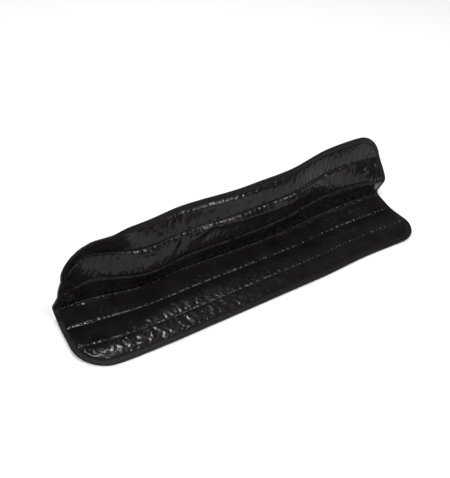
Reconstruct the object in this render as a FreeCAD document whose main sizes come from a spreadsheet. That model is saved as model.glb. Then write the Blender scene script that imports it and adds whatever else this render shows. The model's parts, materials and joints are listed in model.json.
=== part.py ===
import FreeCAD, Part
import os

# A quilted padded divider that lies between two pairs of skis.  The pad is a long sheet of six
# sewn channels.  Three lie on the floor under the front pair of skis, and three stand up between
# the pairs.  It folds along its five rows of quilting.
#
# Frame: X along the skis, Z up, Y from the free edge of the flap towards the wall.  The origin is
# at the middle of the footprint, on the floor.  Each channel is made flat first, with its own Y
# across the channel, its middle plane at Z = 0 and the first seam at Y = 0, and is then placed.

SIZES = [
    ("pad_length", 813, "length of the pad along the skis"),
    ("channel_pitch", 54, "distance from one row of quilting to the next"),
    ("crown_thickness", 12, "thickness in the middle of a channel"),
    ("pressed_depth", 0.5, "how far the underside is pressed flat where the pad lies on the floor"),
    ("seam_thickness", 1.5, "thickness where a channel is pinched at its seam"),
    ("fabric_thickness", 0.6, "coated cloth of each face"),
    ("margin_thickness", 3.2, "pressed edge of the pad, inside the binding"),
    ("margin_seam_thickness", 1.1, "pressed edge where it meets a seam"),
    ("foam_seam_thickness", 0.3, "what is left of the foam at a seam"),
    ("tape_width", 12, "width of the edge binding on each face"),
    ("tape_thickness", 0.8, "edge binding tape"),
    ("tape_seam_thickness", 0.4, "edge binding tape where it meets a seam"),
    ("corner_radius", 50, "rounding of the pad's four corners"),
    ("fold_gap", 2, "from a fold line to the body of each channel"),
    ("thread_diameter", 1.6, "row of quilting thread on a fold line"),
    ("web_thickness", 0.8, "flat cloth between a channel and its row of quilting"),
    ("stitch_inset", 9.5, "from the pad's edge to the row of binding stitches"),
    ("stitch_width", 0.8, "width of the row of binding stitches"),
    ("stitch_height", 0.35, "how far the binding stitches stand above the tape"),
    ("stitch_end_gap", 3, "from a fold line to the first binding stitch"),
]

ALONG_X = FreeCAD.Rotation(FreeCAD.Vector(0, 1, 0), 90)
AROUND_X = FreeCAD.Vector(1, 0, 0)

doc = FreeCAD.newDocument("PaddedSkiDivider")
sheet = doc.addObject("Spreadsheet::Sheet", "Sizes")
for row, (alias, value, meaning) in enumerate(SIZES, start=1):
    sheet.set(f"A{row}", meaning)
    sheet.set(f"B{row}", str(value))
    sheet.setAlias(f"B{row}", alias)
doc.recompute()

PITCH = "Sizes.channel_pitch"
HALF_CROWN = "Sizes.crown_thickness / 2"
HALF_SEAM = "Sizes.seam_thickness / 2"
HALF_MARGIN = "Sizes.margin_thickness / 2"
HALF_MARGIN_SEAM = "Sizes.margin_seam_thickness / 2"
HALF_FOAM_SEAM = "Sizes.foam_seam_thickness / 2"
CLOTH = "Sizes.fabric_thickness"
TAPE = "Sizes.tape_thickness"
TAPE_WIDTH = "Sizes.tape_width"
LAST_Y = f"{PITCH} - Sizes.fold_gap"
SKIN_EDGES = (HALF_SEAM, HALF_MARGIN_SEAM)
FOAM_EDGES = (HALF_FOAM_SEAM, HALF_FOAM_SEAM)


# ---------------------------------------------------------------- building blocks


def place(item, x, y, z):
    item.setExpression(".Placement.Base.x", x)
    item.setExpression(".Placement.Base.y", y)
    item.setExpression(".Placement.Base.z", z)
    return item


def block(name, low, high):
    """A box between two corners, each given as three expressions."""
    item = doc.addObject("Part::Box", name)
    for side, start, end in zip(("Length", "Width", "Height"), low, high):
        item.setExpression(side, f"({end}) - ({start})")
    return place(item, *low)


def join(name, pieces):
    item = doc.addObject("Part::MultiFuse", name)
    item.Shapes = pieces
    return item


def overlap(name, pieces):
    item = doc.addObject("Part::MultiCommon", name)
    item.Shapes = pieces
    return item


def cut(name, base, tool):
    item = doc.addObject("Part::Cut", name)
    item.Base = base
    item.Tool = tool
    return item


def half_length(inset):
    return f"Sizes.pad_length / 2 - ({inset})"


def rod(name, diameter, inset):
    """A round rod along X, centred on X = 0."""
    item = doc.addObject("Part::Cylinder", name)
    item.Placement.Rotation = ALONG_X
    item.setExpression("Radius", f"({diameter}) / 2")
    item.setExpression("Height", f"2 * ({half_length(inset)})")
    item.setExpression(".Placement.Base.x", f"-({half_length(inset)})")
    return item


def crowned_bar(name, inset, span, half_middle, half_edge, pressed="0"):
    """A bar along X with a crowned section: two arcs, thickest at the middle of span and half_edge
    thick at its end.  span is (first Y, Y of the crown, last Y).  Its underside is pressed flat by
    the depth pressed."""
    first, middle, last = span
    rise = f"(({half_middle}) - ({half_edge}))"
    reach = f"(({last}) - ({middle}))"
    radius = f"({reach} ^ 2 + {rise} ^ 2) / (2 * {rise})"
    arcs = []
    for side, sign in (("Above", 1), ("Below", -1)):
        arc = rod(name + side, f"2 * {radius}", inset)
        arc.setExpression(".Placement.Base.y", middle)
        arc.setExpression(".Placement.Base.z", f"{sign} * (({half_middle}) - {radius})")
        arcs.append(arc)
    length = half_length(inset)
    ends = block(
        name + "Ends",
        (f"-({length})", first, f"{pressed} - ({half_middle})"),
        (length, last, half_middle),
    )
    return overlap(name, arcs + [ends])


def outline(name, inset, is_outer, last=PITCH):
    """The pad's outline over one channel, inset from the pad's edge, as a plate thicker than the
    pad.  An outer channel has the pad's two rounded corners at its first Y."""
    length = half_length(inset)
    low, high = "-Sizes.crown_thickness", "Sizes.crown_thickness"
    if not is_outer:
        first = f"{PITCH} - ({last})"
        return block(name, (f"-({length})", first, low), (length, last, high))
    radius = f"(Sizes.corner_radius - ({inset}))"
    straight = f"({length} - {radius})"
    pieces = [
        block(name + "Front", (f"-{straight}", inset, low), (straight, last, high)),
        block(name + "Back", (f"-({length})", f"({inset}) + {radius}", low), (length, last, high)),
    ]
    for side, sign in (("Left", -1), ("Right", 1)):
        corner = doc.addObject("Part::Cylinder", name + side)
        corner.setExpression("Radius", radius)
        corner.setExpression("Height", f"({high}) - ({low})")
        pieces.append(place(corner, f"{sign} * {straight}", f"({inset}) + {radius}", low))
    return join(name, pieces)


# ---------------------------------------------------------------- one channel


def spans(is_outer):
    """Where the crown of a channel and its pressed margins lie, as (first, middle, last) Y."""
    if is_outer:
        crown = (TAPE_WIDTH, f"({TAPE_WIDTH} + {LAST_Y}) / 2", LAST_Y)
        margin = (TAPE, TAPE_WIDTH, LAST_Y)
        return crown, margin
    whole = ("Sizes.fold_gap", f"{PITCH} / 2", LAST_Y)
    return whole, whole


def padding(name, is_outer, pressed, cloth, half_edges):
    """The pad's form over one channel, inside a depth of cloth: the puffed middle and the flat
    margin around it.  half_edges are their half thicknesses at a seam."""
    crown_span, margin_span = spans(is_outer)
    inset = f"{TAPE_WIDTH} + {cloth}"
    crown_middle = f"{HALF_CROWN} - {cloth}"
    margin_middle = f"{HALF_MARGIN} - {cloth}"
    crown = crowned_bar(name + "Crown", inset, crown_span, crown_middle, half_edges[0], pressed)
    margin = crowned_bar(name + "Margin", TAPE, margin_span, margin_middle, half_edges[1])
    if is_outer:
        crown = overlap(
            name + "RoundedCrown", [crown, outline(name + "CrownLine", inset, True)]
        )
        margin = overlap(
            name + "RoundedMargin", [margin, outline(name + "MarginLine", TAPE, True)]
        )
    return crown, margin


def seam_web(name, far_side):
    """The strip of flat cloth that carries a row of quilting, beside one edge of a channel."""
    length = half_length(TAPE_WIDTH)
    near = "Sizes.thread_diameter / 2"
    far = "Sizes.fold_gap + Sizes.fabric_thickness"
    first, last = (f"{PITCH} - ({far})", f"{PITCH} - {near}") if far_side else (near, far)
    low, high = "-Sizes.web_thickness / 2", "Sizes.web_thickness / 2"
    return block(name, (f"-({length})", first, low), (length, last, high))


def make_fabrics(name, is_outer, pressed, webs, inner_is_up):
    """The two cloths of a channel and the foam that they enclose, as three nodes."""
    crown, margin = padding(name + "Skin", is_outer, pressed, "0", SKIN_EDGES)
    skin = join(name + "SkinForm", [crown, margin] + webs)
    core = padding(name + "Core", is_outer, pressed, CLOTH, FOAM_EDGES)
    foam = join(name + "Foam", core)
    shell = cut(name + "Shell", skin, join(name + "Hollow", core))
    length = half_length("0")
    halves = []
    for half, low, high in (("Upper", "0", HALF_CROWN), ("Lower", f"-{HALF_CROWN}", "0")):
        region = block(name + half, (f"-({length})", "0", low), (length, PITCH, high))
        halves.append(overlap(name + half + "Cloth", [shell, region]))
    inner, outer = halves if inner_is_up else reversed(halves)
    return {"foam": foam, "inner_fabric": inner, "outer_fabric": outer}


def make_binding(name, is_outer):
    """The folded tape round the channel's free edges, and the row of stitches that holds it."""
    _, (_, middle, last) = spans(is_outer)
    span = ("0" if is_outer else "Sizes.fold_gap", middle, last)
    half_tape = f"{HALF_MARGIN} + {TAPE}"
    half_tape_seam = f"{HALF_MARGIN_SEAM} + Sizes.tape_seam_thickness"
    form = crowned_bar(name + "TapeForm", "0", span, half_tape, half_tape_seam)
    around = overlap(name + "TapeOutline", [form, outline(name + "TapeLine", "0", is_outer)])
    window = outline(name + "Window", TAPE_WIDTH, is_outer)
    margin = padding(name + "Slot", is_outer, "0", "0", SKIN_EDGES)[1]
    binding = cut(name + "Binding", cut(name + "TapeRing", around, window), margin)

    raised = crowned_bar(
        name + "StitchForm",
        "0",
        span,
        f"{half_tape} + Sizes.stitch_height",
        f"{half_tape_seam} + Sizes.stitch_height",
    )
    end = f"{PITCH} - Sizes.stitch_end_gap"
    row_outside = outline(name + "StitchOuter", "Sizes.stitch_inset", is_outer, end)
    row_inside = outline(
        name + "StitchInner", "Sizes.stitch_inset + Sizes.stitch_width", is_outer
    )
    row = cut(name + "StitchRow", overlap(name + "StitchBand", [raised, row_outside]), row_inside)
    thread = cut(name + "BindingThread", row, around)
    return {"binding": binding, "binding_thread": thread}


# ---------------------------------------------------------------- the whole pad

FRONT_Y = f"(-(3 * {PITCH} + {HALF_CROWN}) / 2)"
FOOT_Y = f"({FRONT_Y} + 3 * {PITCH})"
MIDDLE_Z = f"({HALF_CROWN} - Sizes.pressed_depth)"

# name, turn about X in degrees, Y and Z of its first seam, and which of its sides carry a row of
# quilting.  The top channel is turned over, so that its rounded edge is uppermost.
CHANNELS = [
    ("flap", 0, FRONT_Y, MIDDLE_Z, ()),
    ("floor_front", 0, f"{FRONT_Y} + {PITCH}", MIDDLE_Z, ("near", "far")),
    ("floor_rear", 0, f"{FRONT_Y} + 2 * {PITCH}", MIDDLE_Z, ("far",)),
    ("wall_lower", 90, FOOT_Y, MIDDLE_Z, ("far",)),
    ("wall_middle", 90, FOOT_Y, f"{MIDDLE_Z} + {PITCH}", ("far",)),
    ("wall_top", -90, FOOT_Y, f"{MIDDLE_Z} + 3 * {PITCH}", ()),
]
OUTER_CHANNELS = ("flap", "wall_top")

# name and the Y and Z of each row of quilting, which is also a fold line
SEAMS = [
    ("flap_seam_thread", f"{FRONT_Y} + {PITCH}", MIDDLE_Z),
    ("floor_seam_thread", f"{FRONT_Y} + 2 * {PITCH}", MIDDLE_Z),
    ("foot_seam_thread", FOOT_Y, MIDDLE_Z),
    ("wall_seam_thread", FOOT_Y, f"{MIDDLE_Z} + {PITCH}"),
    ("top_seam_thread", FOOT_Y, f"{MIDDLE_Z} + 2 * {PITCH}"),
]

nodes = {}
for name, turn, base_y, base_z, webbed in CHANNELS:
    stem = name.title().replace("_", "")
    is_outer = name in OUTER_CHANNELS
    webs = [seam_web(stem + side.title() + "Web", side == "far") for side in webbed]
    pressed = "Sizes.pressed_depth" if turn == 0 else "0"
    pieces = make_fabrics(stem, is_outer, pressed, webs, inner_is_up=turn >= 0)
    pieces.update(make_binding(stem, is_outer))
    for kind, piece in pieces.items():
        piece.Label = f"{name}_{kind}"
        piece.Placement = FreeCAD.Placement(
            FreeCAD.Vector(0, 0, 0), FreeCAD.Rotation(AROUND_X, turn)
        )
        place(piece, "0", base_y, base_z)
        nodes[piece.Label] = piece

for name, base_y, base_z in SEAMS:
    thread = rod(name.title().replace("_", ""), "Sizes.thread_diameter", TAPE)
    thread.setExpression(".Placement.Base.y", base_y)
    thread.setExpression(".Placement.Base.z", base_z)
    thread.Label = name
    nodes[name] = thread

doc.recompute()

# ---------------------------------------------------------------- checks and files

failed = [item.Name for item in doc.Objects if {"Invalid", "Error"} & set(item.State)]
if failed:
    raise RuntimeError(f"these objects did not compute: {failed}")
for name, node in nodes.items():
    if node.Shape.isNull() or not node.Shape.isValid() or not node.Shape.Solids:
        raise RuntimeError(f"{name} has no valid solid")

os.makedirs("parts", exist_ok=True)
for name, node in nodes.items():
    node.Shape.exportStep(f"parts/{name}.step")
    print(f"{name}: {len(node.Shape.Solids)} solid(s), {node.Shape.Volume / 1000:.2f} cm3")
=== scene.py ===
import json
import math

import bmesh
import bpy
import numpy as np
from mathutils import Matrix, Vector


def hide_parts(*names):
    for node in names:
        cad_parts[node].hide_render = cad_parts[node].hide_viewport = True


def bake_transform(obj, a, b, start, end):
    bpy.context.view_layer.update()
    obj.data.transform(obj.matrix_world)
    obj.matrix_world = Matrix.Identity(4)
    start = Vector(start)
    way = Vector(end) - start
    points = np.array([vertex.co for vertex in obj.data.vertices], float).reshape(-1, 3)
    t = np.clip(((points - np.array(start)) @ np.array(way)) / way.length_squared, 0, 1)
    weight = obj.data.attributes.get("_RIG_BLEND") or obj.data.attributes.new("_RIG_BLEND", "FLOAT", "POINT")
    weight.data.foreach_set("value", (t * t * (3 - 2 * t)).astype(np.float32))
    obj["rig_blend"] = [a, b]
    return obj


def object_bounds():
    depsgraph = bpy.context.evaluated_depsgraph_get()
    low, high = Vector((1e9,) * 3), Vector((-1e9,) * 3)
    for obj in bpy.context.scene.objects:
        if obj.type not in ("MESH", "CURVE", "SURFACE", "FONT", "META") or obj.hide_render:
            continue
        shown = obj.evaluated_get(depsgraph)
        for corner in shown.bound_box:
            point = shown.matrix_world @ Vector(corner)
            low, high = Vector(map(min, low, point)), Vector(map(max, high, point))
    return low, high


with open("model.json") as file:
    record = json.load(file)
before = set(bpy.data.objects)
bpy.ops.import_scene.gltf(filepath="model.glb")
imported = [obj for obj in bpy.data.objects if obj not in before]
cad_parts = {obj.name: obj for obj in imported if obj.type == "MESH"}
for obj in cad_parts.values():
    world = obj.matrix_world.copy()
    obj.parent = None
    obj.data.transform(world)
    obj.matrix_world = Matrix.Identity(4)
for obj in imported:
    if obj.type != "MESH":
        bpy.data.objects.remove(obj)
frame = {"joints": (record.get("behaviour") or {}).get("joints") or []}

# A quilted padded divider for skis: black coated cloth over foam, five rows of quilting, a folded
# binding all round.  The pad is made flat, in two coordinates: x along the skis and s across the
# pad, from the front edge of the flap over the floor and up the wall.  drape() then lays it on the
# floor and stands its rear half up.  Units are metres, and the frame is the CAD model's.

MM = 0.001
CAD_LOW, CAD_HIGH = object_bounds()
JOINTS = {joint["name"]: joint for joint in frame["joints"]}

HALF = (CAD_HIGH.x - CAD_LOW.x) / 2
PITCH = JOINTS["floor_fold"]["pos_m"][1] - JOINTS["flap_fold"]["pos_m"][1]
CHANNELS = 6
WIDTH = CHANNELS * PITCH
SEAMS = [PITCH * number for number in range(1, CHANNELS)]
INNER, OUTER = 1, -1       # the face that the skis lie on, and the underside and back

CORNER = 60 * MM           # rounding of the four corners
TAPE_WIDTH = 12 * MM       # binding on each face
SHEET_INSET = 6 * MM       # the cloth ends this far inside the binding
MARGIN_HALF = 1.4 * MM     # half thickness of the pressed edge inside the binding
SEAM_HALF = 0.7 * MM       # half thickness where a row of quilting pinches the pad
PUFF_LIMIT = 8.5 * MM      # the foam swells no further than this from the middle of the pad
FLOOR_GAP = 0.3 * MM       # the underside is pressed flat on the floor

# How the pad lies: x in mm, y of its front edge in mm, and the slope of each channel in degrees,
# from the flap to the top strip: 0 lies on the floor and 90 stands upright.
DRAPE = [
    (-406, -73, (5, 0, 4, 120, 112, 112)),
    (-330, -88, (6, 3, 13, 100, 82, 125)),
    (-282, -90, (3, 2, 8, 110, 78, 112)),
    (-236, -91, (1, 1, 2, 117, 81, 84)),
    (-120, -90, (1, 1, 6, 116, 84, 70)),
    (0, -89, (1, 0, 2, 113, 88, 72)),
    (130, -88, (1, 0, 1, 108, 90, 72)),
    (250, -82, (1, 0, 9, 99, 84, 76)),
    (330, -84, (3, 0, 13, 104, 74, 77)),
    (406, -87, (3, 0, 15, 120, 50, 80)),
]
FRONT_HEIGHT = 4 * MM      # middle of the pad at its front edge
BEND_REACH = 14 * MM       # the pad turns within this distance of a seam
FLOOR_SHORTER = 8 * MM     # the crumpled left end is drawn in by this much on the floor,
WALL_SHORTER = 16 * MM     # and by this much on the wall
BLEND_REACH = 0.4 * PITCH  # a joint bends the pad within this distance of its seam

# Ridges pushed up in the inner cloth: x, s, direction in degrees from the x axis, half length, half
# width and height, in mm.
CREASES = [
    # along the flap's front channel, at its left end
    (-285, 22, -8, 16, 5, 1.4),
    # a star of puckers at the flap's seam
    (-258, 42, 78, 14, 4, 2.0),
    (-268, 48, 35, 12, 3.5, 1.5),
    (-246, 46, 130, 10, 3, 1.3),
    # short puckers beside the flap's seam
    (-212, 43, 76, 9, 2.2, 1.1),
    (-196, 42, 84, 10, 2.4, 1.2),
    (-178, 44, 72, 8, 2.0, 1.0),
    (-160, 43, 88, 10, 2.3, 1.2),
    (-143, 44, 80, 8, 2.1, 1.0),
    (-124, 43, 95, 9, 2.4, 1.1),
    # the folded ridge along the wall's top seam
    (-210, 259, -6, 38, 4.5, 1.8),
    (-142, 259, 60, 14, 6, 3.8),
    (-113, 262, 80, 15, 5.5, 3.4),
    (-80, 258, 20, 26, 7, 4.2),
    (35, 257, -4, 90, 7.5, 4.2),
    (148, 267, 3, 36, 4, 1.8),
    (246, 262, 80, 15, 3.2, 2.2),
    (258, 263, 96, 12, 2.8, 1.8),
    (357, 244, 40, 9, 6, 2.4),
    (386, 250, 84, 12, 2.6, 1.4),
    # the puffed strip beside the binding at the wall's top
    (0, 305, -2, 100, 4.5, 2.0),
    (-120, 306, 66, 13, 3, 1.8),
    (-138, 300, 80, 11, 3, 1.5),
    (-155, 303, 72, 10, 2.6, 1.2),
    (-316, 294, -20, 20, 3.6, 1.5),
]


# ---------------------------------------------------------------- smooth fields over the flat pad


def smooth_step(value):
    value = np.clip(value, 0, 1)
    return value * value * (3 - 2 * value)


def between(low, high, share):
    return low + (high - low) * share


def cubic_weights(part):
    """Catmull-Rom weights of the four grid lines round a point."""
    return np.stack([
        -0.5 * part + part**2 - 0.5 * part**3,
        1 - 2.5 * part**2 + 1.5 * part**3,
        0.5 * part + 2 * part**2 - 1.5 * part**3,
        -0.5 * part**2 + 0.5 * part**3,
    ])


def sample(grid, x, s):
    """Smooth value at (x, s) of a grid whose first axis spans the pad's length and whose second
    axis spans its width."""
    columns, rows = grid.shape[:2]
    across = np.clip((x + HALF) / (2 * HALF), 0, 1) * (columns - 1)
    along = np.clip(s / WIDTH, 0, 1) * (rows - 1)
    i, j = np.floor(across).astype(int), np.floor(along).astype(int)
    weights_i, weights_j = cubic_weights(across - i), cubic_weights(along - j)
    total = 0
    for a in range(4):
        for b in range(4):
            cell = grid[np.clip(i + a - 1, 0, columns - 1), np.clip(j + b - 1, 0, rows - 1)]
            weight = weights_i[a] * weights_j[b]
            total = total + (cell * weight if cell.ndim == weight.ndim else cell * weight[..., None])
    return total


def noise(seed, cell_x, cell_s):
    """A smooth random field between about -1 and 1, with cells of that size."""
    shape = (int(2 * HALF / cell_x) + 2, int(WIDTH / cell_s) + 2)
    values = np.random.RandomState(seed).uniform(-1, 1, shape)
    return lambda x, s: sample(values, x, s)


def edge_distance(x, s):
    """Distance from (x, s) to the pad's rounded outline, positive inside."""
    from_side = HALF - np.abs(x)
    from_end = np.minimum(s, WIDTH - s)
    in_corner = (from_side < CORNER) & (from_end < CORNER)
    to_centre = np.hypot(CORNER - from_side, CORNER - from_end)
    return np.where(in_corner, CORNER - to_centre, np.minimum(from_side, from_end))


def seam_distance(s):
    return np.min([np.abs(s - seam) for seam in SEAMS], axis=0)


def inside_tape(x, s):
    """0 under the binding, rising to 1 a little way inside it."""
    return smooth_step((edge_distance(x, s) - TAPE_WIDTH) / (6 * MM))


def on_wall(s):
    """0 on the floor, rising to 1 at the first seam up the wall."""
    return smooth_step((s - SEAMS[2]) / PITCH)


# ---------------------------------------------------------------- how the pad lies


def hermite(knots, values, x):
    """Smooth curve through values at uneven knots."""
    slopes = np.gradient(values, knots, axis=0)
    i = np.clip(np.searchsorted(knots, x) - 1, 0, len(knots) - 2)
    span = (knots[i + 1] - knots[i])[:, None]
    t = np.clip((x - knots[i])[:, None] / span, 0, 1)
    start = values[i] * (2 * t**3 - 3 * t**2 + 1) + slopes[i] * span * (t**3 - 2 * t**2 + t)
    return start + values[i + 1] * (3 * t**2 - 2 * t**3) + slopes[i + 1] * span * (t**3 - t**2)


def make_drape(columns=327, rows=325):
    """The pad's middle surface on a grid over the flat pad, from the slopes in DRAPE.  Cloth does
    not stretch, so where the pad turns along its length its ends draw in."""
    steepest = 0.65        # most of a step's square that may go into turning
    knots = np.array([place for place, _, _ in DRAPE]) * MM
    stations = np.array([(front, *slopes) for _, front, slopes in DRAPE], float)
    found = hermite(knots, stations, np.linspace(-HALF, HALF, columns))
    s = np.linspace(0, WIDTH, rows)
    turned = [smooth_step((s - seam) / (2 * BEND_REACH) + 0.5) for seam in SEAMS]
    share = [before - after for before, after in zip([1 + 0 * s] + turned, turned + [0 * s])]
    slope = np.radians(found[:, 1:] @ np.array(share))
    step = s[1]
    path = []
    for start, run in ((found[:, :1] * MM, np.cos(slope)), (FRONT_HEIGHT, np.sin(slope))):
        walked = np.cumsum((run[:, 1:] + run[:, :-1]) / 2 * step, axis=1)
        path.append(start + np.hstack([np.zeros((columns, 1)), walked]))
    pace = 2 * HALF / (columns - 1)
    turn = sum(np.gradient(part, pace, axis=0) ** 2 for part in path)
    run = np.sqrt(1 - np.clip(turn, 0, steepest))
    x = np.vstack([np.zeros((1, rows)), np.cumsum((run[1:] + run[:-1]) / 2 * pace, axis=0)])
    x = x - x[columns // 2]
    x = x + between(FLOOR_SHORTER, WALL_SHORTER, on_wall(s)) * smooth_step(-x / HALF)
    return np.stack([x, *path], axis=-1)


MIDDLE = make_drape()
SLOW_NOISE = noise(11, 85 * MM, 70 * MM)
SLOW_HEIGHT = (0.3 * MM, 2.5 * MM)     # on the floor and on the wall
EDGE_NOISE = noise(12, 48 * MM, 60 * MM)
EDGE_HEIGHT = (0.4 * MM, 1.4 * MM)
EDGE_REACH = 40 * MM


def wave(x, s):
    """Slow waves of the whole pad and of its edge, larger on the standing wall than on the floor."""
    near_edge = smooth_step(1 - edge_distance(x, s) / EDGE_REACH)
    slow = SLOW_NOISE(x, s) * between(*SLOW_HEIGHT, on_wall(s))
    return slow + EDGE_NOISE(x, s) * near_edge * between(*EDGE_HEIGHT, on_wall(s))


def drape(x, s, height):
    """Place of a point that is at (x, s) on the flat pad, at a height above its middle surface."""
    step = 1 * MM
    along_x = sample(MIDDLE, x + step, s) - sample(MIDDLE, x - step, s)
    along_s = sample(MIDDLE, x, s + step) - sample(MIDDLE, x, s - step)
    normal = np.cross(along_x, along_s)
    normal /= np.linalg.norm(normal, axis=-1, keepdims=True)
    place = sample(MIDDLE, x, s) + normal * (height + wave(x, s))[..., None]
    place[..., 2] = rest_on_floor(place[..., 2])
    return place


def rest_on_floor(z):
    """Whatever would sink into the floor is pressed flat on it, with a soft turn."""
    softness = 0.6 * MM
    return FLOOR_GAP + softness * np.logaddexp(0, (z - FLOOR_GAP) / softness)


# ---------------------------------------------------------------- the quilted face


SEAM_BAND = 3 * MM         # the face is as low as its seam this near to it
EDGE_SEWN = TAPE_WIDTH + 0.3 * MM      # the cloth is held this near to the pad's edge,
SEAM_SEWN = 1 * MM         # and this near to a seam
SIM_COLUMNS = 181
SIM_ROWS = CHANNELS * 12 + 1
SIM_FRAMES = 24
START_RISE = 0.8 * MM      # the loose cloth starts this far above the sewn cloth,
START_JITTER = 0.6 * MM    # and up to this much further
MOST_SLIDE = 3 * MM        # no point of the cloth slides further than this along the pad
PUFF_NOISE = noise(3, 16 * MM, 24 * MM)
LOOSE_NOISE = noise(8, 90 * MM, 45 * MM)
CLOTH_SETTINGS = {
    "quality": 5,
    "mass": 0.15,
    "tension_stiffness": 30,
    "compression_stiffness": 30,
    "shear_stiffness": 12,
    "bending_stiffness": 1.2,
    "air_damping": 3,
    "vertex_group_mass": "sewn",
    "vertex_group_shrink": "loose",
    "shrink_min": -0.004,  # negative: the cloth grows by 0.4 to 4 percent
    "shrink_max": -0.04,
    "use_pressure": True,
    "uniform_pressure_force": 4,
}


def sewn_height(x, s):
    """Height of the face where it is held down: at the seams, and round the edge."""
    inward = smooth_step(edge_distance(x, s) / TAPE_WIDTH - 1)
    at_seam = np.where(seam_distance(s) < SEAM_BAND, SEAM_HALF, MARGIN_HALF)
    return between(MARGIN_HALF, at_seam, inward)


def simulated_face():
    """Offsets (x, s, height) of a cloth that is sewn down along the seams and the edge and blown up
    by the foam under it, on a grid over the flat pad.  The cloth is a little larger than the pad,
    so it puckers along its seams."""
    x, s = np.meshgrid(
        np.linspace(-HALF, HALF, SIM_COLUMNS), np.linspace(0, WIDTH, SIM_ROWS), indexing="ij",
    )
    sewn = (edge_distance(x, s) < EDGE_SEWN) | (seam_distance(s) < SEAM_SEWN)
    rest = sewn_height(x, s)

    jitter = np.random.RandomState(5).uniform(0, START_JITTER, x.shape)
    start = np.stack([x, s, rest + np.where(sewn, 0, START_RISE + jitter)], axis=-1)
    faces = grid_quads(np.arange(x.size).reshape(x.shape))
    cloth = new_mesh_object("sewn_cloth", start.reshape(-1, 3), faces)
    add_weights(cloth, "sewn", sewn)
    add_weights(cloth, "loose", np.clip(0.25 + 0.5 * LOOSE_NOISE(x, s), 0, 1) ** 2)
    moved = settle(cloth).reshape(*x.shape, 3) - np.stack([x, s, 0 * x], axis=-1)
    moved[..., :2] = np.clip(moved[..., :2], -MOST_SLIDE, MOST_SLIDE)
    moved[..., 2] = PUFF_LIMIT * np.tanh(moved[..., 2] / PUFF_LIMIT)
    return moved


def add_weights(thing, name, weights):
    """Makes a vertex group of the points that have a weight."""
    group = thing.vertex_groups.new(name=name)
    for point, weight in enumerate(np.ravel(weights)):
        if weight > 0:
            group.add([point], float(weight), "REPLACE")


def settle(cloth):
    """Runs the cloth's simulation, takes the cloth away and gives the places of its points."""
    modifier = cloth.modifiers.new("Cloth", "CLOTH")
    for name, value in CLOTH_SETTINGS.items():
        setattr(modifier.settings, name, value)
    modifier.settings.effector_weights.gravity = 0
    modifier.collision_settings.use_collision = False
    modifier.point_cache.frame_start = 1
    modifier.point_cache.frame_end = SIM_FRAMES
    for step in range(1, SIM_FRAMES + 1):
        bpy.context.scene.frame_set(step)
    seen = cloth.evaluated_get(bpy.context.evaluated_depsgraph_get()).data
    found = np.zeros(len(seen.vertices) * 3, np.float32)
    seen.vertices.foreach_get("co", found)
    bpy.data.objects.remove(cloth)
    bpy.context.scene.frame_set(1)
    return found.astype(float)


def pucker_lines(seed):
    """Uneven fine folds that run away from a seam: a sum of waves along x."""
    draw = np.random.RandomState(seed)
    waves = 9
    lengths = draw.uniform(6, 15, waves) * MM
    phases = draw.uniform(0, 2 * math.pi, waves)

    def height(x):
        total = sum(np.sin(2 * math.pi * x / size + phase) for size, phase in zip(lengths, phases))
        return total / math.sqrt(waves)

    return height


PUCKERS = [pucker_lines(40 + number) for number in range(len(SEAMS))]
PUCKER_STRENGTH = noise(21, 45 * MM, 54 * MM)
PUCKER_HEIGHT = 0.45 * MM
PUCKER_REACH = 9 * MM      # the puckers fade out this far from the seam
PUCKER_START = 1.5 * MM    # and they begin this far from it
PUCKER_SLANT = 0.15
PUCKER_UNEVEN = 0.7
WRINKLES = noise(22, 9 * MM, 14 * MM)
WRINKLE_HEIGHT = 0.12 * MM
THINNEST = 0.3 * MM        # least distance of a face from the pad's middle


def fine_folds(x, s):
    """Folds too small for the simulation: puckers at the seams, and wrinkles all over."""
    total = WRINKLE_HEIGHT * WRINKLES(x, s)
    height = PUCKER_HEIGHT * (1 + PUCKER_UNEVEN * PUCKER_STRENGTH(x, s))
    for seam, lines in zip(SEAMS, PUCKERS):
        away = np.abs(s - seam)
        reach = np.exp(-away / PUCKER_REACH) * (1 - np.exp(-away / PUCKER_START))
        total = total + height * reach * lines(x + PUCKER_SLANT * (s - seam))
    return total * inside_tape(x, s)


def creases(x, s):
    """Height of the ridges in CREASES."""
    total = 0 * x
    for at_x, at_s, turn, length, width, height in CREASES:
        angle = math.radians(turn)
        across, along = x - at_x * MM, s - at_s * MM
        run = across * math.cos(angle) + along * math.sin(angle)
        side = along * math.cos(angle) - across * math.sin(angle)
        total = total + height * MM * np.exp(-(run / (length * MM)) ** 2 - (side / (width * MM)) ** 2)
    return total * inside_tape(x, s)


SHOULDER_GAIN = 0.8        # beside a seam the face rises by this share more
SHOULDER_REACH = 5 * MM
PINCH_REACH = 1.2 * MM     # the thread pulls the face in this near to the seam
SHARPENED = 25 * MM        # the channels' middles, further than this from a seam, are left alone


def sharpen_seams(s, height):
    """The simulation's grid is too coarse for the steep shoulders beside a row of quilting."""
    away = seam_distance(s)
    steeper = 1 + SHOULDER_GAIN * np.exp(-away / SHOULDER_REACH)
    pinched = 1 - np.exp(-away / PINCH_REACH)
    shoulder = SEAM_HALF + (height - SEAM_HALF) * steeper * pinched
    return np.where(away < SHARPENED, shoulder, height)


def face_points(x, s, side):
    """Places of the inner or the outer face over points of the flat pad.  The outer face has the
    folds of the inner one, turned end for end."""
    moved = sample(FACE, side * x, s)
    height = sharpen_seams(s, moved[..., 2]) + fine_folds(side * x, s)
    if side == INNER:
        height = height + creases(x, s)
    height = np.maximum(height, THINNEST)
    return drape(x + side * moved[..., 0], s + moved[..., 1], side * height)


# ---------------------------------------------------------------- meshes


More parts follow.
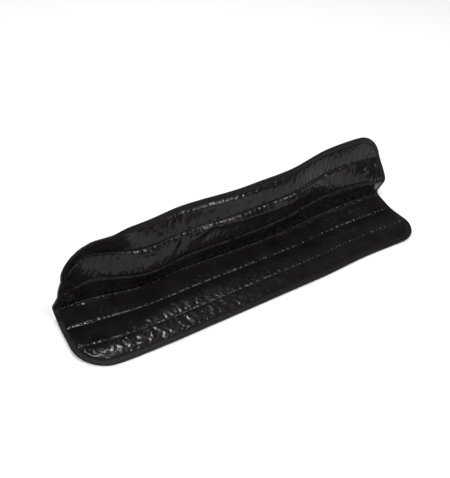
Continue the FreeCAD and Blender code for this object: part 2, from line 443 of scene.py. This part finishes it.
def new_mesh_object(name, points, faces):
    """An object with smooth faces."""
    mesh = bpy.data.meshes.new(name)
    rings = [[int(point) for point in face] for face in faces]
    mesh.from_pydata(np.asarray(points).tolist(), [], rings, shade_flat=False)
    mesh.update()
    thing = bpy.data.objects.new(name, mesh)
    bpy.context.scene.collection.objects.link(thing)
    return thing


def grid_quads(index):
    """Quads between the point numbers of a grid."""
    corners = (index[:-1, :-1], index[1:, :-1], index[1:, 1:], index[:-1, 1:])
    return np.stack(corners, axis=-1).reshape(-1, 4)


def finish_piece(thing, flat, region, slot, nodes):
    """Keeps each vertex's place on the flat pad for the materials, and bends the piece with the two
    bodies that its seam joins."""
    mesh = thing.data
    place = mesh.attributes.new("flat_place", "FLOAT_VECTOR", "POINT")
    place.data.foreach_set("vector", np.asarray(flat, np.float32).ravel())
    mesh.materials.append(MATERIALS[slot])
    axis_point = np.array(region["joint"]["pos_m"])
    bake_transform(thing, *region["bodies"], start=axis_point, end=axis_point + (0, PITCH, 0))
    # The blend's own weights run along a straight line; these run along the draped pad.
    turned = smooth_step((flat[:, 1] - region["seam"]) / (2 * BLEND_REACH) + 0.5)
    mesh.attributes["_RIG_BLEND"].data.foreach_set("value", turned.astype(np.float32))
    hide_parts(*nodes)


SHELL_COLUMNS = 371
ROWS_PER_CHANNEL = 26


def side_width(s):
    """How far the cloth's end is from x = 0 at s, inside the binding and round the corners."""
    reach = CORNER - SHEET_INSET
    from_end = np.clip(np.minimum(s, WIDTH - s) - SHEET_INSET, 0, reach)
    return HALF - CORNER + np.sqrt(reach**2 - (reach - from_end) ** 2)


def row_places():
    """Values of s of the mesh's rows: closer together at the seams, and round the corners."""
    crowding = 0.6
    t = np.arange(ROWS_PER_CHANNEL) / ROWS_PER_CHANNEL
    eased = t - crowding * np.sin(2 * math.pi * t) / (2 * math.pi)
    places = np.concatenate([PITCH * (channel + eased) for channel in range(CHANNELS)] + [[WIDTH]])
    reach = CORNER - SHEET_INSET
    arc = SHEET_INSET + reach * (1 - np.cos(np.radians(np.arange(0, 40, 3))))
    inner = places[(places > arc[-1] + MM) & (places < WIDTH - arc[-1] - MM)]
    return np.concatenate([arc, inner, WIDTH - arc[::-1]])


def build_shells():
    """The quilted cloth of all regions, as closed forms.  Neighbours share their cut's points."""
    rows = row_places()
    # The columns run straight across the pad, and near its ends they fan out with the corners.
    columns = np.linspace(-1, 1, SHELL_COLUMNS)
    straight = 1 - 2 * CORNER / HALF
    ends = np.clip((np.abs(columns) - straight) / (1 - straight), 0, 1)
    middle = np.minimum(np.abs(columns), straight) * HALF
    reach = side_width(rows)[None, :] - straight * HALF
    x = np.sign(columns)[:, None] * (middle[:, None] + ends[:, None] * reach)
    s = np.broadcast_to(rows, x.shape)
    flat = np.stack([x, s, 0 * x], axis=-1)
    faces = [face_points(x, s, side) for side in (INNER, OUTER)]
    normals = [side * grid_normals(points) for side, points in zip((INNER, OUTER), faces)]
    for region in REGIONS:
        low, high = region["span"]
        first, last = np.argmin(np.abs(rows - low)), np.argmin(np.abs(rows - high))
        points, turned, places = (
            np.concatenate([grid[:, first:last + 1].reshape(-1, 3) for grid in grids])
            for grids in (faces, normals, (flat, flat))
        )
        quads = closed_grid(SHELL_COLUMNS, last + 1 - first)
        thing = new_mesh_object(f"{region['name']}_padding", points, quads)
        thing.data.normals_split_custom_set_from_vertices(turned.tolist())
        finish_piece(thing, places, region, "shell_fabric", region["cloth"])


def grid_normals(points):
    normal = np.cross(np.gradient(points, axis=0), np.gradient(points, axis=1))
    return normal / (np.linalg.norm(normal, axis=-1, keepdims=True) + 1e-12)


def closed_grid(columns, rows):
    """Quads of two grids of points, the upper one first, closed along their common outline."""
    count = columns * rows
    index = np.arange(count).reshape(columns, rows)
    outline = np.concatenate([index[:, 0], index[-1, 1:], index[-2::-1, -1], index[0, -2:0:-1]])
    after = np.roll(outline, -1)
    wall = np.stack([outline, outline + count, after + count, after], axis=-1)
    under = grid_quads(index + count)[:, [0, 3, 2, 1]]
    return np.concatenate([grid_quads(index), under, wall])


# ---------------------------------------------------------------- binding and stitches


PATH_STEP = 2 * MM         # between the points of a straight side
LEG_POINTS, CORNER_POINTS, FRONT_POINTS = 12, 37, 340


def side_path(side, low, high):
    """The straight path up one side of the pad: -1 is the left side and 1 the right."""
    s = np.linspace(low, high, int((high - low) / PATH_STEP) + 1)
    return np.stack([np.full_like(s, side * HALF), s], axis=-1), np.tile([-side, 0.0], (len(s), 1))


def front_path(end):
    """The path round the pad's front, from s = end on the left side to s = end on the right."""
    leg = np.linspace(end, CORNER, LEG_POINTS)[:-1]
    turn = np.radians(np.linspace(0, 90, CORNER_POINTS))
    run = np.linspace(CORNER - HALF, HALF - CORNER, FRONT_POINTS)[1:-1]
    corner = (CORNER - HALF - CORNER * np.cos(turn), CORNER * (1 - np.sin(turn)))
    points = [np.stack(pair, axis=-1) for pair in ((np.full_like(leg, -HALF), leg), corner)]
    inward = [np.tile([1.0, 0.0], (len(leg), 1)), np.stack([np.cos(turn), np.sin(turn)], axis=-1)]
    mirrored = [part[::-1] * (-1, 1) for part in points[::-1]]
    mirrored_inward = [part[::-1] * (-1, 1) for part in inward[::-1]]
    points += [np.stack([run, 0 * run], axis=-1)] + mirrored
    inward += [np.tile([0.0, 1.0], (len(run), 1))] + mirrored_inward
    return np.concatenate(points), np.concatenate(inward)


def edge_paths(low, high):
    """Open paths along the pad's outline between two values of s, as points (x, s) and the unit
    directions into the pad.  A region at the front or the top has one path round both corners."""
    if low > 0 and high < WIDTH:
        return [side_path(side, low, high) for side in (-1, 1)]
    if low == 0:
        return [front_path(high)]
    points, inward = front_path(WIDTH - low)
    return [(points * (1, -1) + (0, WIDTH), inward * (1, -1))]


# The folded tape's section: distance from the edge and height, in mm, over the outside and back
# along the inside.
TAPE_OUTSIDE = [
    (12, 1.6), (11.7, 2.15), (9.5, 2.2), (6, 2.35), (3, 2.4), (1.2, 2.1), (0.3, 1.3), (0, 0),
]
TAPE_INSIDE = [(2, 1.5), (7, 1.5), (11.6, 1.5)]
TAPE_WOBBLE = noise(31, 22 * MM, 22 * MM)
WOBBLE_WIDTH = 0.5 * MM
TAPE_RIPPLE = noise(32, 8 * MM, 8 * MM)
RIPPLE_SHARE = 0.1


def tape_section():
    """Points (distance from the edge, height) round the tape's section."""
    upper = TAPE_OUTSIDE
    lower = [(inset, -height) for inset, height in TAPE_OUTSIDE[-2::-1]]
    inside = [(inset, -height) for inset, height in TAPE_INSIDE[::-1]]
    return np.array(upper + lower + inside + TAPE_INSIDE) * MM


def build_binding(region):
    """The tape folded round the pad's edge in one region."""
    inset, height = tape_section().T
    around = inset * np.where(height < 0, -1, 1)
    points, flat, quads = [], [], []
    count = 0
    for path, inward in edge_paths(*region["span"]):
        wobble = WOBBLE_WIDTH * TAPE_WOBBLE(*path.T)[:, None] * inset / TAPE_WIDTH
        x = path[:, :1] + inward[:, :1] * (inset + wobble)
        s = path[:, 1:] + inward[:, 1:] * (inset + wobble)
        ripple = 1 + RIPPLE_SHARE * TAPE_RIPPLE(x, s)
        points.append(drape(x, s, height * ripple).reshape(-1, 3))
        flat.append(np.stack([x, s, np.broadcast_to(around, x.shape)], axis=-1).reshape(-1, 3))
        index = count + np.arange(x.size).reshape(x.shape)
        quads += grid_quads(np.hstack([index, index[:, :1]])).tolist()
        quads += [index[0].tolist(), index[-1, ::-1].tolist()]
        count += x.size
    thing = new_mesh_object(f"{region['name']}_edge_tape", np.concatenate(points), quads)
    fix_normals(thing)
    finish_piece(thing, np.concatenate(flat), region, "binding_tape", region["tape"])


def fix_normals(thing):
    """Turns all faces outward."""
    work = bmesh.new()
    work.from_mesh(thing.data)
    bmesh.ops.recalc_face_normals(work, faces=work.faces)
    work.to_mesh(thing.data)
    work.free()


STITCH_SIDES = 6
STITCH_RINGS = [(-0.44, 0.7), (-0.2, 1.0), (0.2, 1.0), (0.44, 0.7)]    # shares of length and radius
EDGE_STITCH = {"step": 4 * MM, "length": 3.1 * MM, "radius": 0.42 * MM, "height": 2.3 * MM}
EDGE_STITCH_INSET = 9.5 * MM
SEAM_STITCH = {"step": 4.6 * MM, "length": 3.5 * MM, "radius": 0.5 * MM, "height": 0.85 * MM}


def stitch_form(length, radius):
    """One stitch as points (along, side, up) and faces: a short thread with pointed ends that
    dip."""
    points = []
    for along, size in STITCH_RINGS:
        for number in range(STITCH_SIDES):
            angle = 2 * math.pi * number / STITCH_SIDES
            side, up = size * radius * math.cos(angle), size * radius * math.sin(angle)
            points.append((along * length, side, up))
    first, last = len(points), len(points) + 1
    points += [(-0.5 * length, 0, -0.3 * radius), (0.5 * length, 0, -0.3 * radius)]
    faces = []
    base = (len(STITCH_RINGS) - 1) * STITCH_SIDES
    for ring in range(0, base, STITCH_SIDES):
        for number in range(STITCH_SIDES):
            a, b = ring + number, ring + (number + 1) % STITCH_SIDES
            faces.append((a, b, b + STITCH_SIDES, a + STITCH_SIDES))
    for number in range(STITCH_SIDES):
        following = (number + 1) % STITCH_SIDES
        faces.append((first, following, number))
        faces.append((last, base + number, base + following))
    return np.array(points), faces


def build_stitches(kind, region, places, directions, stitch, nodes):
    """Stitches at places (x, s) on both faces, lying along directions (x, s)."""
    form, form_faces = stitch_form(stitch["length"], stitch["radius"])
    along, across, up = form.T
    points, flat, faces = [], [], []
    for side in (INNER, OUTER):
        for place, direction in zip(places, directions):
            x = place[0] + along * direction[0] - across * direction[1]
            s = place[1] + along * direction[1] + across * direction[0]
            base = len(points) * len(form)
            points.append(np.stack([x, s, side * (stitch["height"] + up)], axis=-1))
            flat.append(np.stack([x, s, along], axis=-1))
            faces += [[base + number for number in face[::side]] for face in form_faces]
    placed = drape(*np.concatenate(points).T)
    thing = new_mesh_object(f"{region['name']}_{kind}", placed, faces)
    finish_piece(thing, np.concatenate(flat), region, "sewing_thread", nodes)


def walk(path, inward, inset, step):
    """Places and directions every step along a path, moved into the pad by inset."""
    line = path + inward * inset
    runs = np.linalg.norm(np.diff(line, axis=0), axis=1)
    length = np.concatenate([[0], np.cumsum(runs)])
    marks = np.arange(step / 2, length[-1], step)

    def at(marks):
        return np.stack([np.interp(marks, length, values) for values in line.T], axis=-1)

    directions = at(marks + 0.5 * MM) - at(marks - 0.5 * MM)
    directions /= np.linalg.norm(directions, axis=1, keepdims=True)
    return at(marks), directions


def build_threads(region):
    """The binding's stitches and the row of quilting of one region."""
    paths = edge_paths(*region["span"])
    found = [walk(path, inward, EDGE_STITCH_INSET, EDGE_STITCH["step"]) for path, inward in paths]
    places, directions = (np.concatenate(parts) for parts in zip(*found))
    build_stitches("edge_stitches", region, places, directions, EDGE_STITCH, region["tape_thread"])
    x = np.arange(TAPE_WIDTH - HALF, HALF - TAPE_WIDTH, SEAM_STITCH["step"])
    places = np.stack([x, np.full_like(x, region["seam"])], axis=-1)
    directions = np.tile([1.0, 0.0], (len(x), 1))
    build_stitches("quilting", region, places, directions, SEAM_STITCH, region["seam_thread"])


# ---------------------------------------------------------------- regions


# Each region lies round one seam, from the middle of a channel to the middle of the next, and
# bends at that seam.  The first and the last one reach to the pad's edge.
BODIES = ("flap", "floor_front", "floor_rear", "wall_lower", "wall_middle", "wall_top")
REGION_NAMES = ("flap", "floor", "foot", "wall", "top")
PADDING_NODES = ("foam", "inner_fabric", "outer_fabric")


def make_regions():
    regions = []
    for number, (name, seam) in enumerate(zip(REGION_NAMES, SEAMS)):
        is_first, is_last = number == 0, number == len(SEAMS) - 1
        owned = BODIES[:2] if is_first else BODIES[number + 1:number + 2]
        regions.append({
            "name": name,
            "seam": seam,
            "joint": JOINTS[f"{name}_fold"],
            "span": (0 if is_first else seam - PITCH / 2, WIDTH if is_last else seam + PITCH / 2),
            "bodies": BODIES[number:number + 2],
            "cloth": [f"{body}_{kind}" for body in owned for kind in PADDING_NODES],
            "tape": [f"{body}_binding" for body in owned],
            "tape_thread": [f"{body}_binding_thread" for body in owned],
            "seam_thread": [f"{name}_seam_thread"],
        })
    return regions


# ---------------------------------------------------------------- materials


BAND_PERIOD = 0.314        # a wave texture's bands are this far apart at a scale of 1


class Nodes:
    """A material's node tree, with short ways to add and link its nodes."""

    def __init__(self, name):
        self.material = bpy.data.materials.new(name)
        self.material.use_nodes = True
        self.tree = self.material.node_tree
        self.shader = self.tree.nodes["Principled BSDF"]

    def add(self, kind, **values):
        node = self.tree.nodes.new(kind)
        for key, value in values.items():
            setattr(node, key, value)
        return node

    def link(self, source, target):
        self.tree.links.new(source, target)

    def flat_place(self):
        return self.add("ShaderNodeAttribute", attribute_name="flat_place").outputs["Vector"]

    def noise(self, place, scale, detail, stretch=(1, 1, 1)):
        moved = self.add("ShaderNodeMapping")
        moved.inputs["Scale"].default_value = stretch
        self.link(place, moved.inputs["Vector"])
        node = self.add("ShaderNodeTexNoise")
        node.inputs["Scale"].default_value = scale
        node.inputs["Detail"].default_value = detail
        self.link(moved.outputs["Vector"], node.inputs["Vector"])
        return node.outputs["Fac"]

    def threads(self, place, pitch, axis):
        """A wave of ridges across one axis of the flat pad."""
        node = self.add("ShaderNodeTexWave", wave_type="BANDS", bands_direction=axis)
        node.inputs["Scale"].default_value = BAND_PERIOD / pitch
        node.inputs["Distortion"].default_value = 0.4
        node.inputs["Detail"].default_value = 1
        self.link(place, node.inputs["Vector"])
        return node.outputs["Fac"]

    def spread(self, source, low, high):
        """Maps the middle half of a noise's 0 to 1 to low to high."""
        node = self.add("ShaderNodeMapRange")
        node.inputs["From Min"].default_value = 0.25
        node.inputs["From Max"].default_value = 0.75
        node.inputs["To Min"].default_value = low
        node.inputs["To Max"].default_value = high
        self.link(source, node.inputs["Value"])
        return node.outputs["Result"]

    def blend_colours(self, factor, first, second):
        node = self.add("ShaderNodeMix", data_type="RGBA")
        node.inputs["A"].default_value = (*first, 1)
        node.inputs["B"].default_value = (*second, 1)
        self.link(factor, node.inputs["Factor"])
        return node.outputs["Result"]

    def maths(self, operation, first, second):
        node = self.add("ShaderNodeMath", operation=operation)
        self.link(first, node.inputs[0])
        self.link(second, node.inputs[1])
        return node.outputs["Value"]

    def bump(self, height, distance, strength, under=None):
        """A bump of this height in metres, on top of the one under it."""
        node = self.add("ShaderNodeBump")
        node.inputs["Strength"].default_value = strength
        node.inputs["Distance"].default_value = distance
        self.link(height, node.inputs["Height"])
        if under is not None:
            self.link(under, node.inputs["Normal"])
        return node.outputs["Normal"]

    def set(self, **values):
        """Sets or links the shader's inputs; an underscore stands for a space in a name."""
        for key, value in values.items():
            socket = self.shader.inputs[key.replace("_", " ")]
            if isinstance(value, bpy.types.NodeSocket):
                self.link(value, socket)
            else:
                socket.default_value = value


def shell_fabric():
    """Black coated nylon: satin, with fine creases, a plain weave and worn, greyer places."""
    m = Nodes("shell_fabric")
    place = m.flat_place()
    wear = m.noise(place, 26, 4)
    cloudy = m.noise(place, 9, 3)
    colour = m.blend_colours(m.spread(wear, 0, 1), (0.0045, 0.0042, 0.004), (0.011, 0.010, 0.0092))
    crinkle = m.noise(place, 170, 4, (1, 0.55, 1))
    folds = m.noise(place, 60, 3, (1.2, 0.5, 1))
    weave = m.maths("MULTIPLY", m.threads(place, 0.7 * MM, "X"), m.threads(place, 0.7 * MM, "Y"))
    normal = m.bump(folds, 0.3 * MM, 0.5)
    normal = m.bump(crinkle, 0.08 * MM, 0.5, normal)
    normal = m.bump(weave, 0.02 * MM, 0.5, normal)
    m.set(
        Base_Color=colour,
        Roughness=m.spread(cloudy, 0.17, 0.31),
        Normal=normal,
        Specular_IOR_Level=0.15,
        Coat_Weight=0.12,
        Coat_Roughness=0.12,
    )
    return m.material


def binding_tape():
    """Ribbed black tape, a little duller than the cloth."""
    m = Nodes("binding_tape")
    place = m.flat_place()
    fuzz = m.noise(place, 140, 4)
    colour = m.blend_colours(m.spread(fuzz, 0, 1), (0.005, 0.005, 0.005), (0.012, 0.0115, 0.011))
    ribs = m.maths("MAXIMUM", m.threads(place, 1.3 * MM, "X"), m.threads(place, 1.3 * MM, "Y"))
    normal = m.bump(m.noise(place, 110, 3), 0.5 * MM, 0.7)
    normal = m.bump(ribs, 0.12 * MM, 0.7, normal)
    m.set(
        Base_Color=colour,
        Roughness=m.spread(fuzz, 0.38, 0.52),
        Normal=normal,
        Specular_IOR_Level=0.12,
    )
    return m.material


def sewing_thread():
    """Bonded black thread with its twist."""
    m = Nodes("sewing_thread")
    place = m.flat_place()
    twist = m.add("ShaderNodeTexWave", wave_type="BANDS", bands_direction="DIAGONAL")
    twist.inputs["Scale"].default_value = BAND_PERIOD / (0.6 * MM)
    m.link(place, twist.inputs["Vector"])
    shade = m.noise(place, 300, 2)
    colour = m.blend_colours(m.spread(shade, 0, 1), (0.012, 0.0115, 0.011), (0.03, 0.029, 0.028))
    m.set(
        Base_Color=colour,
        Roughness=m.spread(shade, 0.4, 0.55),
        Specular_IOR_Level=0.15,
        Normal=m.bump(twist.outputs["Fac"], 0.15 * MM, 0.8),
    )
    return m.material


# ---------------------------------------------------------------- the stage


CAMERA_PLACE = (-0.557, -0.8364, 0.888)
CAMERA_TARGET = (0.0128, 0.1241, 0.0035)
LENS, SENSOR = 48.15, 36   # mm
FLOOR_REACH = 6            # half the floor's side
WORLD_STRENGTH = 0.05
LIGHT_TARGET = (0, 0, 0.05)
LIGHT_DISTANCE = 5
LIGHT_SIZE = 0.8
# Name, elevation and azimuth in degrees, and power in watts.  An azimuth of 0 is straight in front
# of the pad, and 90 is off its right end.
LIGHTS = [
    ("fill", 62, -45, 145),
    ("back", 62, 180, 120),
    ("right", 62, 45, 38),
    ("front", 45, 30, 72),
    ("low_front", 30, 16, 18),
]


def plain_floor():
    m = Nodes("pale_floor")
    m.set(Base_Color=(0.9, 0.9, 0.9, 1), Roughness=0.8, Specular_IOR_Level=0.1)
    corners = [(FLOOR_REACH * x, FLOOR_REACH * y, 0) for x, y in ((-1, -1), (1, -1), (1, 1), (-1, 1))]
    floor = new_mesh_object("floor", corners, [(0, 1, 2, 3)])
    floor.data.materials.append(m.material)


def soft_light(name, elevation, azimuth, power):
    """A square soft box that shines on the pad from a direction."""
    light = bpy.data.lights.new(name, "AREA")
    light.size = LIGHT_SIZE
    light.energy = power
    thing = bpy.data.objects.new(name, light)
    up, turn = math.radians(elevation), math.radians(azimuth)
    direction = (math.cos(up) * math.sin(turn), -math.cos(up) * math.cos(turn), math.sin(up))
    thing.location = Vector(direction) * LIGHT_DISTANCE
    aim(thing, LIGHT_TARGET)
    bpy.context.scene.collection.objects.link(thing)


def aim(thing, target):
    direction = Vector(target) - Vector(thing.location)
    thing.rotation_euler = direction.to_track_quat("-Z", "Y").to_euler()


def build_stage():
    plain_floor()
    world = bpy.data.worlds.new("studio")
    world.use_nodes = True
    background = world.node_tree.nodes["Background"]
    background.inputs["Color"].default_value = (1, 1, 1, 1)
    background.inputs["Strength"].default_value = WORLD_STRENGTH
    bpy.context.scene.world = world
    bpy.context.scene.view_settings.view_transform = "Standard"
    for name, elevation, azimuth, power in LIGHTS:
        soft_light(name, elevation, azimuth, power)


def build_camera():
    camera = bpy.data.cameras.new("camera")
    camera.lens = LENS
    camera.sensor_width = SENSOR
    thing = bpy.data.objects.new("camera", camera)
    thing.location = CAMERA_PLACE
    aim(thing, CAMERA_TARGET)
    bpy.context.scene.collection.objects.link(thing)
    bpy.context.scene.camera = thing


# ---------------------------------------------------------------- build


build_camera()
build_stage()
REGIONS = make_regions()
MATERIALS = {make.__name__: make() for make in (shell_fabric, binding_tape, sewing_thread)}
FACE = simulated_face()
build_shells()
for region in REGIONS:
    build_binding(region)
    build_threads(region)
